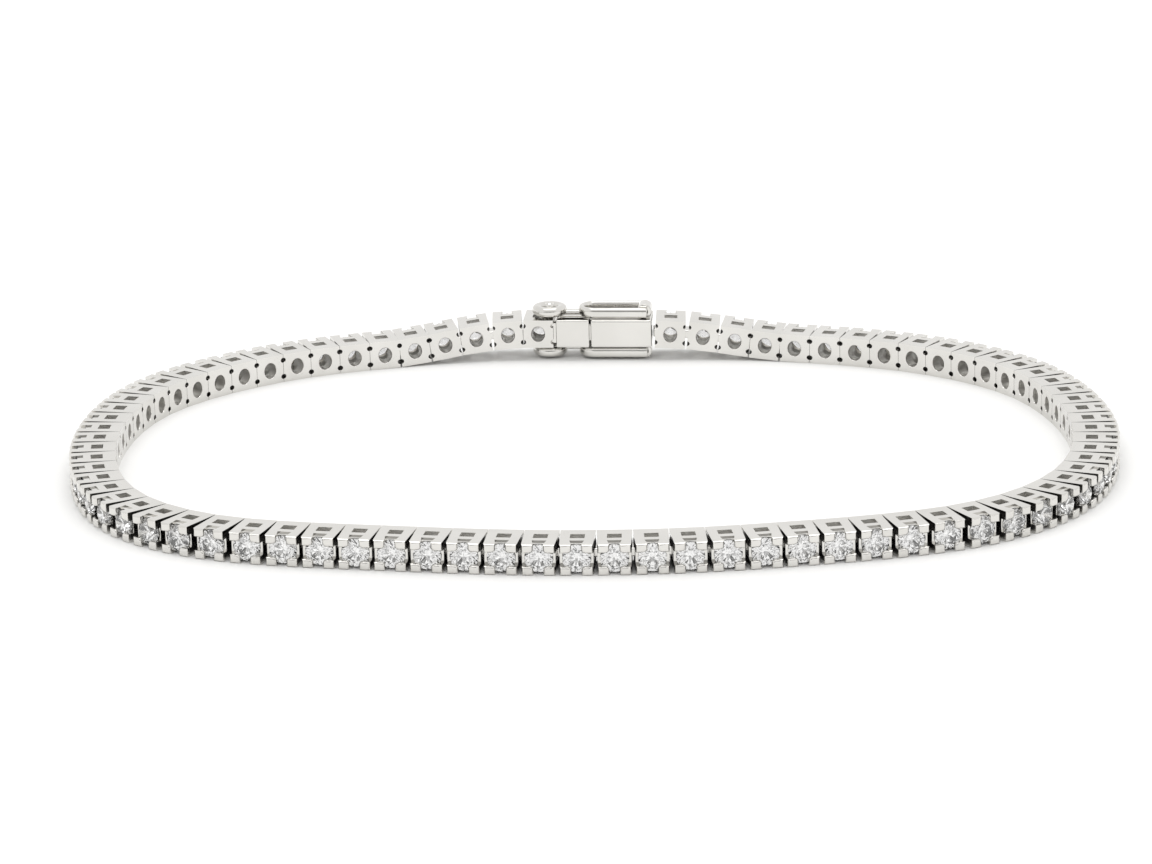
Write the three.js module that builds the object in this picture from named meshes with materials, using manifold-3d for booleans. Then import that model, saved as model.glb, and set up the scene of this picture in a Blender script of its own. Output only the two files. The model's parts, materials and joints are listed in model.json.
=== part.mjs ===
// A tennis bracelet in white metal: a closed loop of small square settings, each holding one
// round stone that faces outwards, closed by a box clasp with a safety latch on each side.
// It lies on its side, as it does on a table. Units are millimetres and +Z is up.
//
// A link has its own frame: x runs along the chain, y points out of the loop from the face
// that touches the wrist, and z rises from the side that lies on the table.

import * as THREE from 'three';
import { mergeVertices } from 'three/addons/utils/BufferGeometryUtils.js';
import Module from 'manifold-3d';

const wasm = await Module();
wasm.setup();

// Chain
const link_count = 79;
const link_pitch = 2.17;
const link_gap = 0.24;
const link_taper = 0.045;
const link_height = 1.9;
const hinge_depth = 1.16;

// Setting, from the wrist outwards: base, slot through both sides, bar and prongs
const base_thickness = 0.8;
const slot_depth = 0.75;
const bar_thickness = 0.47;
const prong_length = 0.88;
const slot_width = 0.86;
const prong_width = 0.5;
const prong_height = 0.54;

// Round stone
const stone_inset = 0.09;
const stone_setback = 0.16;
const stone_table_share = 0.55;
const stone_crown_height = 0.26;
const stone_pavilion_height = 0.42;
const stone_facets = 8;

// Lug that hinges a link to the next
const lug_height = 0.54;
const lug_inset = 0.25;
const lug_depth = 1.2;
const lug_bite = 0.15;

// Clasp
const clasp_gap = 0.1;
const clasp_step = 0.2;
const box_length = 4.1;
const box_wall = 0.32;
const tongue_block_length = 2.24;
const block_slot_length = 1.5;
const block_slot_inset = 0.4;
const block_slot_depth = 0.45;
const solder_inset = 0.25;

// Spring tongue, folded once inside the box, and its thumb tab
const spring_thickness = 0.28;
const spring_clearance = 0.14;
const spring_end_clearance = 0.58;
const tab_length = 2.7;
const tab_overhang = 0.62;
const tab_width = 1.4;
const tab_thickness = 0.5;
const tab_clearance = 0.3;
const tab_lip_height = 0.45;
const tab_lip_thickness = 0.25;

// Safety latches, one on each side of the clasp
const latch_half_width = 1.17;
const latch_arm_width = 0.43;
const latch_thickness = 0.68;
const latch_neck_length = 0.8;
const latch_neck_width = 0.5;
const latch_neck_thickness = 0.34;
const latch_clearance = 0.08;
const knuckle_diameter = 1.0;
const knuckle_inset = 0.02;
const pin_diameter = 0.44;
const pin_clearance = 0.1;
const ball_diameter = 0.66;
const ball_post_diameter = 0.42;
const ball_clearance = 0.15;
const ball_top_share = 0.6;
const ball_cap_height = 0.28;
const ball_under_height = 0.23;

// Sides of the round pieces, and links over which the chain comes down from the clasp
const round_sides = 10;
const ring_sides = 14;
const ease_links = 4.5;

// Few chosen points of the loop, seen from above, from the clasp round the right, the front and
// the left. Only their shape counts: the loop is scaled to the length of the chain.
const route_points = [
  [1.3, 21.0], [2.7, 21.3], [12.8, 20.4], [22.8, 16.2], [28.6, 9.6], [31.1, -2.6],
  [28.7, -13.7], [22.6, -20.0], [9.4, -23.3], [-0.6, -23.7], [-11.2, -22.1], [-23.5, -18.5],
  [-28.8, -12.8], [-30.9, -1.1], [-28.1, 11.1], [-20.4, 18.5], [-10.7, 21.6], [-3.6, 22.1],
];

const link_inner_width = link_pitch - link_gap;
const link_outer_width = link_inner_width - 2 * link_taper;
const slot_end = base_thickness + slot_depth;
const seat_depth = slot_end + bar_thickness;
const link_depth = seat_depth + prong_length;
const stone_diameter = link_height - 2 * stone_inset;
const clasp_depth = link_depth - clasp_step;
const latch_middle = clasp_depth / 2;
const knuckle_height = latch_clearance + latch_thickness / 2;
const clasp_lift = knuckle_height + knuckle_diameter / 2;
const clasp_span = box_length + clasp_gap + tongue_block_length;
const clasp_right = clasp_span / 2 + link_gap / 2;
const clasp_left = clasp_right + link_pitch;
const free_links = link_count - 1;
const right_links = Math.floor(free_links / 2);
const loop_length = free_links * link_pitch + clasp_left + clasp_right;

const merge_distance = 1e-5;
const white_metal = { color: 0xd9d6d0, roughness: 0.18, metalness: 1 };

function solid(geometry) {
  const plain = new THREE.BufferGeometry();
  plain.setAttribute('position', geometry.getAttribute('position').clone());
  if (geometry.index) plain.setIndex(geometry.index.clone());
  const merged = mergeVertices(plain, merge_distance);
  return new wasm.Manifold(new wasm.Mesh({
    numProp: 3,
    vertProperties: new Float32Array(merged.getAttribute('position').array),
    triVerts: new Uint32Array(merged.index.array),
  }));
}

function geometry_of(body) {
  const mesh = body.getMesh();
  const geometry = new THREE.BufferGeometry();
  geometry.setAttribute('position', new THREE.BufferAttribute(new Float32Array(mesh.vertProperties), 3));
  geometry.setIndex(new THREE.BufferAttribute(new Uint32Array(mesh.triVerts), 1));
  return geometry;
}

function block(low, high) {
  const size = high.map((value, axis) => value - low[axis]);
  const middle = high.map((value, axis) => (value + low[axis]) / 2);
  return new THREE.BoxGeometry(...size).translate(...middle);
}

// An outline in x and y, raised from one height to another
function prism(outline, bottom, top, holes = []) {
  const shape = new THREE.Shape(outline.map(([x, y]) => new THREE.Vector2(x, y)));
  shape.holes = holes.map((hole) => new THREE.Path(hole.map(([x, y]) => new THREE.Vector2(x, y))));
  const settings = { depth: top - bottom, bevelEnabled: false };
  return new THREE.ExtrudeGeometry(shape, settings).translate(0, 0, bottom);
}

function rectangle(x0, x1, y0, y1) {
  return [[x0, y0], [x1, y0], [x1, y1], [x0, y1]];
}

// A round bar along y, with a flat side facing straight down
function bar_along_y(radius, start, end) {
  const bar = new THREE.CylinderGeometry(radius, radius, end - start, round_sides);
  return bar.rotateY(Math.PI / round_sides).translate(0, (start + end) / 2, 0);
}

// Union and cut, piece by piece
function join(...pieces) {
  return pieces.reduce((whole, piece) => whole.add(piece));
}

function cut(whole, ...tools) {
  return tools.reduce((rest, tool) => rest.subtract(tool), whole);
}

// A brilliant with its table facing out of the loop: table, crown and pavilion facets
function stone_geometry() {
  const girdle = link_depth - stone_setback - stone_crown_height;
  const radius = stone_diameter / 2;
  const profile = [
    new THREE.Vector2(0, girdle - stone_pavilion_height),
    new THREE.Vector2(radius, girdle),
    new THREE.Vector2(radius * stone_table_share, girdle + stone_crown_height),
    new THREE.Vector2(0, girdle + stone_crown_height),
  ];
  const turned = new THREE.LatheGeometry(profile, stone_facets).rotateY(Math.PI / stone_facets);
  return turned.translate(0, 0, link_height / 2);
}

function link_solid() {
  const inner = link_inner_width / 2;
  const outer = link_outer_width / 2;
  const slot = rectangle(-slot_width / 2, slot_width / 2, base_thickness, slot_end);
  const sides = [[-inner, 0], [inner, 0], [outer, link_depth], [-outer, link_depth]];
  const body = solid(prism(sides, 0, link_height, [slot]));
  const window_half = outer - prong_width;
  const beyond = link_depth + link_pitch;
  const between_ends = block([-window_half, seat_depth, -beyond], [window_half, beyond, beyond]);
  const between_sides = block(
    [-beyond, seat_depth, prong_height],
    [beyond, beyond, link_height - prong_height],
  );
  return join(cut(body, solid(between_ends), solid(between_sides)), solid(stone_geometry()));
}

// The line of the hinges, as a closed curve of the chain's own length
const flat_route = new THREE.CatmullRomCurve3(
  route_points.map(([x, y]) => new THREE.Vector3(x, y, 0)), true, 'centripetal');
flat_route.arcLengthDivisions = 2400;
const route_scale = loop_length / flat_route.getLength();

// The clasp stands on its knuckles, so the chain beside it comes off the table
function lift_at(distance) {
  const wrapped = THREE.MathUtils.euclideanModulo(distance, loop_length);
  const right = wrapped - clasp_right;
  const left = loop_length - clasp_left - wrapped;
  const away = Math.max(0, Math.min(right, left));
  return clasp_lift * (1 - THREE.MathUtils.smoothstep(away, 0, ease_links * link_pitch));
}

function route_point(distance) {
  const share = THREE.MathUtils.euclideanModulo(distance, loop_length) / loop_length;
  const point = flat_route.getPointAt(share).multiplyScalar(route_scale);
  point.z = lift_at(distance);
  return point;
}

// Frame with x from one point to the other, and y pointing out of the loop
function frame_between(start, end, share = 0.5) {
  const along = end.clone().sub(start).normalize();
  const outwards = new THREE.Vector3(0, 0, 1).cross(along).normalize();
  const upwards = along.clone().cross(outwards);
  const frame = new THREE.Matrix4().makeBasis(along, outwards, upwards);
  frame.setPosition(start.clone().lerp(end, share));
  return frame.multiply(new THREE.Matrix4().makeTranslation(0, -hinge_depth, 0));
}

function link_frame(index) {
  const start = clasp_right + index * link_pitch;
  return frame_between(route_point(start), route_point(start + link_pitch));
}

// Frame of the hinge before a link, halfway in direction between that link and the last
function hinge_frame(index) {
  const place = clasp_right + index * link_pitch;
  const half = link_pitch / 2;
  const frame = frame_between(route_point(place - half), route_point(place + half));
  const inwards = new THREE.Matrix4().makeTranslation(0, -hinge_depth, 0);
  return frame.extractRotation(frame).setPosition(route_point(place)).multiply(inwards);
}

function moved(geometry, frame) {
  return geometry.clone().applyMatrix4(frame);
}

// A lug reaches from inside one link to inside the next, or stops short of a separate piece
function lug_geometry(starts_free, ends_free) {
  const bite = link_gap / 2 + lug_bite;
  const short = link_gap / 2 - clasp_gap;
  const low = (link_height - lug_height) / 2;
  return block(
    [starts_free ? -short : -bite, lug_inset, low],
    [ends_free ? short : bite, lug_inset + lug_depth, low + lug_height],
  );
}

function chain_solid(first, last, lug_before, lug_after) {
  const link = geometry_of(link_solid());
  const pieces = [];
  for (let index = first; index <= last; index += 1) {
    pieces.push(solid(moved(link, link_frame(index))));
    if (index > first) pieces.push(solid(moved(lug_geometry(false, false), hinge_frame(index))));
  }
  if (lug_before) pieces.push(solid(moved(lug_geometry(true, false), hinge_frame(first))));
  if (lug_after) pieces.push(solid(moved(lug_geometry(false, true), hinge_frame(last + 1))));
  return join(...pieces);
}

// The clasp has one frame of its own, with x = 0 halfway between the links beside it
const clasp_start = route_point(-clasp_left);
const clasp_end = route_point(clasp_right);
const clasp_frame = frame_between(clasp_start, clasp_end, clasp_left / (clasp_left + clasp_right));

const box_end = clasp_span / 2;
const box_mouth = box_end - box_length;
const block_end = box_mouth - clasp_gap;
const block_start = -clasp_span / 2;
const outer_leaf = clasp_depth - box_wall - spring_clearance - spring_thickness;
const pin_place = box_end - knuckle_diameter / 2 - knuckle_inset;
const end_link_place = -clasp_right - link_pitch / 2;
const ball_place = end_link_place + (link_inner_width + slot_width) / 4;

// A piece on the upper side, turned over onto the lower side about the middle of the height
function both_sides(geometry) {
  const turned = geometry.clone().translate(0, -latch_middle, -link_height / 2).rotateX(Math.PI);
  return [geometry, turned.translate(0, latch_middle, link_height / 2)];
}

function clasp_box_solid() {
  const shell = block([box_mouth, 0, 0], [box_end, clasp_depth, link_height]);
  const hollow = block(
    [box_mouth - box_wall, box_wall, box_wall],
    [box_end - box_wall, clasp_depth - box_wall, link_height - box_wall],
  );
  const half = latch_half_width - latch_arm_width - pin_clearance;
  const apothem = Math.cos(Math.PI / round_sides);
  const knuckle = bar_along_y(knuckle_diameter / 2 / apothem, latch_middle - half, latch_middle + half);
  const bore_radius = (pin_diameter / 2 + pin_clearance) / apothem;
  const bore = bar_along_y(bore_radius, latch_middle - link_depth, latch_middle + link_depth);
  const at_pin = [pin_place, 0, link_height + knuckle_height];
  let body = cut(solid(shell), solid(hollow));
  for (const side of both_sides(knuckle.translate(...at_pin))) body = body.add(solid(side));
  for (const side of both_sides(bore.translate(...at_pin))) body = body.subtract(solid(side));
  return body;
}

// Post and ball that a latch snaps over
function ball_geometry() {
  const post = ball_post_diameter / 2;
  const ball = ball_diameter / 2;
  const top = clasp_lift;
  const middle = top - ball_cap_height;
  const profile = [
    [0, -lug_bite], [post, -lug_bite], [post, middle - ball_under_height],
    [ball, middle], [ball * ball_top_share, top], [0, top],
  ].map(([radius, height]) => new THREE.Vector2(radius, height));
  const turned = new THREE.LatheGeometry(profile, round_sides).rotateX(Math.PI / 2);
  return turned.translate(ball_place, latch_middle, link_height);
}

function clasp_tongue_solid() {
  const slot_middle = (block_start + block_end) / 2;
  const slot = rectangle(
    slot_middle - block_slot_length / 2, slot_middle + block_slot_length / 2,
    block_slot_inset, block_slot_inset + block_slot_depth,
  );
  const sides = rectangle(block_start, block_end, 0, clasp_depth);
  const low = (link_height - tab_width) / 2;
  const recess = block(
    [block_end - tab_overhang, outer_leaf - clasp_gap, low - clasp_gap],
    [box_mouth, link_depth, link_height - low + clasp_gap],
  );
  const body = cut(solid(prism(sides, 0, link_height, [slot])), solid(recess));

  const end_link = solid(geometry_of(link_solid()).translate(end_link_place, 0, 0));
  const solder = block(
    [block_start - link_gap - lug_bite, solder_inset, solder_inset],
    [block_start + lug_bite, seat_depth - solder_inset, link_height - solder_inset],
  );
  const balls = both_sides(ball_geometry()).map(solid);
  return join(body, end_link, solid(solder), ...balls, spring_solid());
}

// One strip: into the box along its inner wall, folded back, and out to the thumb tab
function spring_solid() {
  const tip = box_end - box_wall - spring_end_clearance;
  const inner = box_wall + spring_clearance;
  const outer = outer_leaf + spring_thickness;
  const root = block_end - lug_bite;
  const stem_end = block_end - clasp_gap;
  const stem_start = stem_end - spring_thickness;
  const tab_bottom = clasp_depth + tab_clearance;
  const fold = spring_thickness;
  const bend = fold / 2;
  const outline = [
    [root, inner], [tip - fold, inner], [tip, inner + fold], [tip, outer - fold], [tip - fold, outer],
    [stem_end, outer], [stem_end, tab_bottom + tab_thickness / 2],
    [stem_start, tab_bottom + tab_thickness / 2], [stem_start, outer_leaf],
    [tip - fold - bend, outer_leaf], [tip - fold, outer_leaf - bend],
    [tip - fold, inner + fold + bend], [tip - fold - bend, inner + fold],
    [root, inner + fold],
  ];
  const low = box_wall + spring_clearance;
  const strip = solid(prism(outline, low, link_height - low));
  const tab_start = stem_start - tab_overhang;
  const tab_end = tab_start + tab_length;
  const tab_top = tab_bottom + tab_thickness;
  const tab_outline = [
    [tab_start, tab_bottom], [tab_end, tab_bottom], [tab_end, tab_top],
    [tab_start + tab_lip_thickness + tab_lip_height, tab_top],
    [tab_start + tab_lip_thickness, tab_top + tab_lip_height], [tab_start, tab_top + tab_lip_height],
  ];
  const tab_low = (link_height - tab_width) / 2;
  return strip.add(solid(prism(tab_outline, tab_low, tab_low + tab_width)));
}

// Points of an arc, by its first and last angle in degrees
function arc(centre_x, centre_y, radius, from, to, steps) {
  return Array.from({ length: steps + 1 }, (_, step) => {
    const angle = THREE.MathUtils.degToRad(from + (to - from) * step / steps);
    return [centre_x + radius * Math.cos(angle), centre_y + radius * Math.sin(angle)];
  });
}

function circle(centre_x, centre_y, radius, sides) {
  return arc(centre_x, centre_y, radius, 0, 360 - 360 / sides, sides - 1);
}

// A figure of eight: a small loop over the ball, a neck, and two arms that end in the pin
function latch_geometry() {
  const bottom = link_height + latch_clearance;
  const top = bottom + latch_thickness;
  const y = latch_middle;
  const ring = prism(
    circle(ball_place, y, latch_half_width, ring_sides), bottom, top,
    [circle(ball_place, y, ball_diameter / 2 + ball_clearance, round_sides)],
  );
  const ring_right = ball_place + latch_half_width;
  const fork_start = ring_right + latch_neck_length;
  const neck = block(
    [ring_right - latch_arm_width / 2, y - latch_neck_width / 2, bottom],
    [fork_start + latch_arm_width / 2, y + latch_neck_width / 2, bottom + latch_neck_thickness],
  );
  const w = latch_half_width;
  const inside = w - latch_arm_width;
  const fork = prism([
    [pin_place, y - w], [pin_place, y - inside],
    ...arc(fork_start + w, y, inside, 270, 90, ring_sides / 2),
    [pin_place, y + inside], [pin_place, y + w],
    ...arc(fork_start + w, y, w, 90, 270, ring_sides / 2),
  ], bottom, top);
  const ends = [y - w, y + inside].map((start) => (
    bar_along_y(latch_thickness / 2, start, start + latch_arm_width)
      .translate(pin_place, 0, link_height + knuckle_height)
  ));
  const pin = bar_along_y(pin_diameter / 2, y - w + latch_arm_width / 2, y + w - latch_arm_width / 2)
    .translate(pin_place, 0, link_height + knuckle_height);
  return geometry_of(join(...[ring, neck, fork, ...ends, pin].map(solid)));
}

const bracelet = new THREE.Group();

function add_piece(name, geometry, look) {
  geometry.computeVertexNormals();
  const mesh = new THREE.Mesh(geometry, new THREE.MeshStandardMaterial(look));
  mesh.name = name;
  bracelet.add(mesh);
}

const [upper_latch, lower_latch] = both_sides(latch_geometry());
add_piece('chain_right', geometry_of(chain_solid(0, right_links - 1, true, true)), white_metal);
add_piece('chain_left', geometry_of(chain_solid(right_links, free_links - 1, false, true)), white_metal);
add_piece('clasp_box', moved(geometry_of(clasp_box_solid()), clasp_frame), white_metal);
add_piece('clasp_tongue', moved(geometry_of(clasp_tongue_solid()), clasp_frame), white_metal);
add_piece('safety_latch_upper', moved(upper_latch, clasp_frame), white_metal);
add_piece('safety_latch_lower', moved(lower_latch, clasp_frame), white_metal);

// The origin is on the table, below the middle of the whole bracelet
const extent = new THREE.Box3().setFromObject(bracelet);
const middle = extent.getCenter(new THREE.Vector3());
bracelet.position.set(-middle.x, -middle.y, -extent.min.z);

export default bracelet;
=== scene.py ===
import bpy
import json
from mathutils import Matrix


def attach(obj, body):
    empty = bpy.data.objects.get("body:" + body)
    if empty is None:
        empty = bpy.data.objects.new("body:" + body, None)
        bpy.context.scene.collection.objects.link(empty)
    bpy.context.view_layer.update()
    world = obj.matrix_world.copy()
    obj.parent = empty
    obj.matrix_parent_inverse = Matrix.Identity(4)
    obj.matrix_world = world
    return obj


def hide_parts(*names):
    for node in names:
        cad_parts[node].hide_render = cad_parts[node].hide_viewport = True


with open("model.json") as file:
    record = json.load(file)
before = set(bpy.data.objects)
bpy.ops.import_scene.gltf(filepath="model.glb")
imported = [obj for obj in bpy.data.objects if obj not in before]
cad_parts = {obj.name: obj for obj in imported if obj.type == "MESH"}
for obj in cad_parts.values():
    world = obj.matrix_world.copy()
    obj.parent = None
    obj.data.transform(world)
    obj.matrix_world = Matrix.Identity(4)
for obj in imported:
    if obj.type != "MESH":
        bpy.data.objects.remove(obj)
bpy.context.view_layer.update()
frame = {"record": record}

import copy
import json
import math

import bmesh
import bpy
import numpy as np
from mathutils import Matrix, Vector

MM = 0.001

# Sizes in millimetres, as in the part's source
LINK_COUNT = 79
LINK_PITCH = 2.17
LINK_GAP = 0.24
LINK_HEIGHT = 1.9
HINGE_DEPTH = 1.16
BASE_THICKNESS = 0.8
SLOT_DEPTH = 0.75
BAR_THICKNESS = 0.47
PRONG_LENGTH = 0.88
SLOT_HALF = 0.43
PRONG_HEIGHT = 0.54
STONE_INSET = 0.09
STONE_SETBACK = 0.16
STONE_CROWN = 0.26
LUG_HEIGHT = 0.54
LUG_INSET = 0.25
LUG_DEPTH = 1.2
LUG_BITE = 0.15
CLASP_GAP = 0.1
CLASP_STEP = 0.2
BOX_LENGTH = 4.1
BOX_WALL = 0.32
BLOCK_LENGTH = 2.24
BLOCK_SLOT_LENGTH = 1.5
BLOCK_SLOT_INSET = 0.4
BLOCK_SLOT_DEPTH = 0.45
SOLDER_INSET = 0.25
SPRING_THICKNESS = 0.28
SPRING_CLEARANCE = 0.14
SPRING_END = 0.58
TAB_LENGTH = 2.7
TAB_OVERHANG = 0.62
TAB_WIDTH = 1.4
TAB_THICKNESS = 0.5
TAB_CLEARANCE = 0.3
TAB_LIP_HEIGHT = 0.45
TAB_LIP_THICKNESS = 0.25
LATCH_HALF = 1.17
LATCH_ARM = 0.43
LATCH_THICKNESS = 0.68
LATCH_NECK_LENGTH = 0.8
LATCH_NECK_WIDTH = 0.5
LATCH_NECK_THICKNESS = 0.34
LATCH_CLEARANCE = 0.08
KNUCKLE_RADIUS = 0.5
KNUCKLE_INSET = 0.02
PIN_RADIUS = 0.22
PIN_CLEARANCE = 0.1
BALL_RADIUS = 0.33
BALL_POST_RADIUS = 0.21
BALL_POST_HEIGHT = 0.42
BALL_HALF_HEIGHT = 0.28
BALL_CLEARANCE = 0.15
EASE_LINKS = 4.5
ROUTE_POINTS = np.array([
    (1.3, 21.0), (2.7, 21.3), (12.8, 20.4), (22.8, 16.2), (28.6, 9.6), (31.1, -2.6),
    (28.7, -13.7), (22.6, -20.0), (9.4, -23.3), (-0.6, -23.7), (-11.2, -22.1), (-23.5, -18.5),
    (-28.8, -12.8), (-30.9, -1.1), (-28.1, 11.1), (-20.4, 18.5), (-10.7, 21.6), (-3.6, 22.1),
])
ROUTE_DIVISIONS = 2400

INNER_HALF = (LINK_PITCH - LINK_GAP) / 2
SLOT_END = BASE_THICKNESS + SLOT_DEPTH
SEAT_DEPTH = SLOT_END + BAR_THICKNESS
LINK_DEPTH = SEAT_DEPTH + PRONG_LENGTH
MIDDLE = LINK_HEIGHT / 2
STONE_RADIUS = MIDDLE - STONE_INSET
GIRDLE = LINK_DEPTH - STONE_SETBACK - STONE_CROWN
CLASP_DEPTH = LINK_DEPTH - CLASP_STEP
LATCH_MIDDLE = CLASP_DEPTH / 2
KNUCKLE_HEIGHT = LATCH_CLEARANCE + LATCH_THICKNESS / 2
CLASP_LIFT = KNUCKLE_HEIGHT + KNUCKLE_RADIUS
CLASP_SPAN = BOX_LENGTH + CLASP_GAP + BLOCK_LENGTH
CLASP_RIGHT = CLASP_SPAN / 2 + LINK_GAP / 2
CLASP_LEFT = CLASP_RIGHT + LINK_PITCH
FREE_LINKS = LINK_COUNT - 1
RIGHT_LINKS = FREE_LINKS // 2
LOOP_LENGTH = FREE_LINKS * LINK_PITCH + CLASP_LEFT + CLASP_RIGHT
BOX_END = CLASP_SPAN / 2
BOX_MOUTH = BOX_END - BOX_LENGTH
BLOCK_END = BOX_MOUTH - CLASP_GAP
BLOCK_START = -CLASP_SPAN / 2
PIN_PLACE = BOX_END - KNUCKLE_RADIUS - KNUCKLE_INSET
END_LINK_PLACE = -CLASP_RIGHT - LINK_PITCH / 2
BALL_PLACE = END_LINK_PLACE + (LINK_PITCH - LINK_GAP + 2 * SLOT_HALF) / 4


# The line of the hinges, as in the part's source

def curve_point(share):
    count = len(ROUTE_POINTS)
    place = count * share
    index = int(math.floor(place))
    w = place - index
    p0, p1, p2, p3 = (ROUTE_POINTS[(index + k) % count] for k in (-1, 0, 1, 2))
    d0, d1, d2 = (math.sqrt(np.linalg.norm(b - a)) for a, b in ((p0, p1), (p1, p2), (p2, p3)))
    t1 = ((p1 - p0) / d0 - (p2 - p0) / (d0 + d1) + (p2 - p1) / d1) * d1
    t2 = ((p2 - p1) / d1 - (p3 - p1) / (d1 + d2) + (p3 - p2) / d2) * d1
    return (p1 + t1 * w + (-3 * p1 + 3 * p2 - 2 * t1 - t2) * w ** 2
            + (2 * p1 - 2 * p2 + t1 + t2) * w ** 3)


ROUTE_SHARES = np.linspace(0, 1, ROUTE_DIVISIONS + 1)
route_steps = np.diff([curve_point(share) for share in ROUTE_SHARES], axis=0)
ROUTE_LENGTHS = np.concatenate([[0], np.cumsum(np.linalg.norm(route_steps, axis=1))])
ROUTE_SCALE = LOOP_LENGTH / ROUTE_LENGTHS[-1]


def lift_at(distance):
    wrapped = distance % LOOP_LENGTH
    away = max(0, min(wrapped - CLASP_RIGHT, LOOP_LENGTH - CLASP_LEFT - wrapped))
    share = min(1, away / (EASE_LINKS * LINK_PITCH))
    return CLASP_LIFT * (1 - share * share * (3 - 2 * share))


def route_point(distance):
    target = (distance % LOOP_LENGTH) / LOOP_LENGTH * ROUTE_LENGTHS[-1]
    x, y = curve_point(np.interp(target, ROUTE_LENGTHS, ROUTE_SHARES)) * ROUTE_SCALE
    return np.array([x, y, lift_at(distance)])


def frame_between(start, end, share=0.5):
    along = (end - start) / np.linalg.norm(end - start)
    outwards = np.cross([0, 0, 1], along)
    outwards /= np.linalg.norm(outwards)
    matrix = np.eye(4)
    matrix[:3, 0], matrix[:3, 1], matrix[:3, 2] = along, outwards, np.cross(along, outwards)
    matrix[:3, 3] = start + (end - start) * share - HINGE_DEPTH * outwards
    return matrix


def link_frame(index):
    start = CLASP_RIGHT + index * LINK_PITCH
    return frame_between(route_point(start), route_point(start + LINK_PITCH))


def hinge_frame(index):
    place = CLASP_RIGHT + index * LINK_PITCH
    matrix = frame_between(route_point(place - LINK_PITCH / 2), route_point(place + LINK_PITCH / 2))
    matrix[:3, 3] = route_point(place) - HINGE_DEPTH * matrix[:3, 1]
    return matrix


def shifted(matrix, x=0.0, y=0.0, z=0.0):
    move = np.eye(4)
    move[:3, 3] = x, y, z
    return matrix @ move


clasp_frame = frame_between(
    route_point(-CLASP_LEFT), route_point(CLASP_RIGHT), CLASP_LEFT / (CLASP_LEFT + CLASP_RIGHT))
upper_pin = clasp_frame @ [PIN_PLACE, LATCH_MIDDLE, LINK_HEIGHT + KNUCKLE_HEIGHT, 1]
joint_places = {joint["name"]: joint["pos_m"] for joint in frame["record"]["behaviour"]["joints"]}
OFFSET = np.array(joint_places["latch_upper_swing"]) / MM - upper_pin[:3]


def in_metres(matrix):
    """A frame in millimetres, moved to the frame's origin and scaled to metres."""
    moved = matrix.copy()
    moved[:3, 3] += OFFSET
    moved[:3] *= MM
    return moved


# Mesh helpers. Templates are objects in millimetres that aren't kept

def add_object(name, mesh):
    obj = bpy.data.objects.new(name, mesh)
    bpy.context.scene.collection.objects.link(obj)
    return obj


def raw(name, vertices, faces):
    mesh = bpy.data.meshes.new(name)
    mesh.from_pydata([tuple(v) for v in vertices], [], faces)
    return add_object(name, mesh)


def fix_normals(obj):
    bm = bmesh.new()
    bm.from_mesh(obj.data)
    bmesh.ops.recalc_face_normals(bm, faces=bm.faces)
    bm.to_mesh(obj.data)
    bm.free()
    return obj


def apply_modifiers(obj):
    graph = bpy.context.evaluated_depsgraph_get()
    mesh = bpy.data.meshes.new_from_object(obj.evaluated_get(graph))
    obj.modifiers.clear()
    obj.data = mesh
    return obj


def combine(obj, tool, operation):
    modifier = obj.modifiers.new("combine", "BOOLEAN")
    modifier.object = tool
    modifier.operation = operation
    modifier.solver = "EXACT"
    apply_modifiers(obj)
    bpy.data.objects.remove(tool)
    return obj


def cut(obj, *tools):
    for tool in tools:
        combine(obj, tool, "DIFFERENCE")
    return obj


def join(obj, *tools):
    for tool in tools:
        combine(obj, tool, "UNION")
    return obj


def soften(obj, width, segments=2, angle=35):
    modifier = obj.modifiers.new("soften", "BEVEL")
    modifier.width = width
    modifier.segments = segments
    modifier.limit_method = "ANGLE"
    modifier.angle_limit = math.radians(angle)
    modifier.use_clamp_overlap = True
    return apply_modifiers(obj)


def block(low, high, rounding=0.0, segments=2):
    x0, y0, z0 = low
    x1, y1, z1 = high
    corners = [(x, y, z) for x in (x0, x1) for y in (y0, y1) for z in (z0, z1)]
    faces = [(0, 1, 3, 2), (4, 6, 7, 5), (0, 4, 5, 1), (2, 3, 7, 6), (0, 2, 6, 4), (1, 5, 7, 3)]
    obj = fix_normals(raw("block", corners, faces))
    return soften(obj, rounding, segments) if rounding else obj


def prism(outline, bottom, top):
    count = len(outline)
    vertices = [(x, y, z) for z in (bottom, top) for x, y in outline]
    faces = [tuple(range(count)), tuple(range(count, 2 * count))]
    faces += [(i, (i + 1) % count, (i + 1) % count + count, i + count) for i in range(count)]
    return fix_normals(raw("prism", vertices, faces))


def lathe(profile, sides, axis="Z", place=(0, 0, 0), squeeze=(1, 1)):
    """A closed form turned about an axis. The profile runs from bottom to top, as (radius, height)."""
    vertices, faces, rings = [], [], []
    for radius, height in profile:
        if radius < 1e-9:
            rings.append([len(vertices)])
            vertices.append((0.0, 0.0, height))
            continue
        rings.append(list(range(len(vertices), len(vertices) + sides)))
        for k in range(sides):
            angle = 2 * math.pi * (k + 0.5) / sides
            vertices.append((radius * math.cos(angle) * squeeze[0],
                             radius * math.sin(angle) * squeeze[1], height))
    for low, high in zip(rings, rings[1:]):
        for k in range(sides):
            n = (k + 1) % sides
            corners = [low[k % len(low)], low[n % len(low)], high[n % len(high)], high[k % len(high)]]
            faces.append(tuple(dict.fromkeys(corners)))
    for ring in (rings[0], rings[-1]):
        if len(ring) > 1:
            faces.append(tuple(ring))
    turned = np.array(vertices)
    if axis == "Y":
        turned = turned[:, [0, 2, 1]]
    return fix_normals(raw("lathe", turned + np.array(place), faces))


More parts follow.
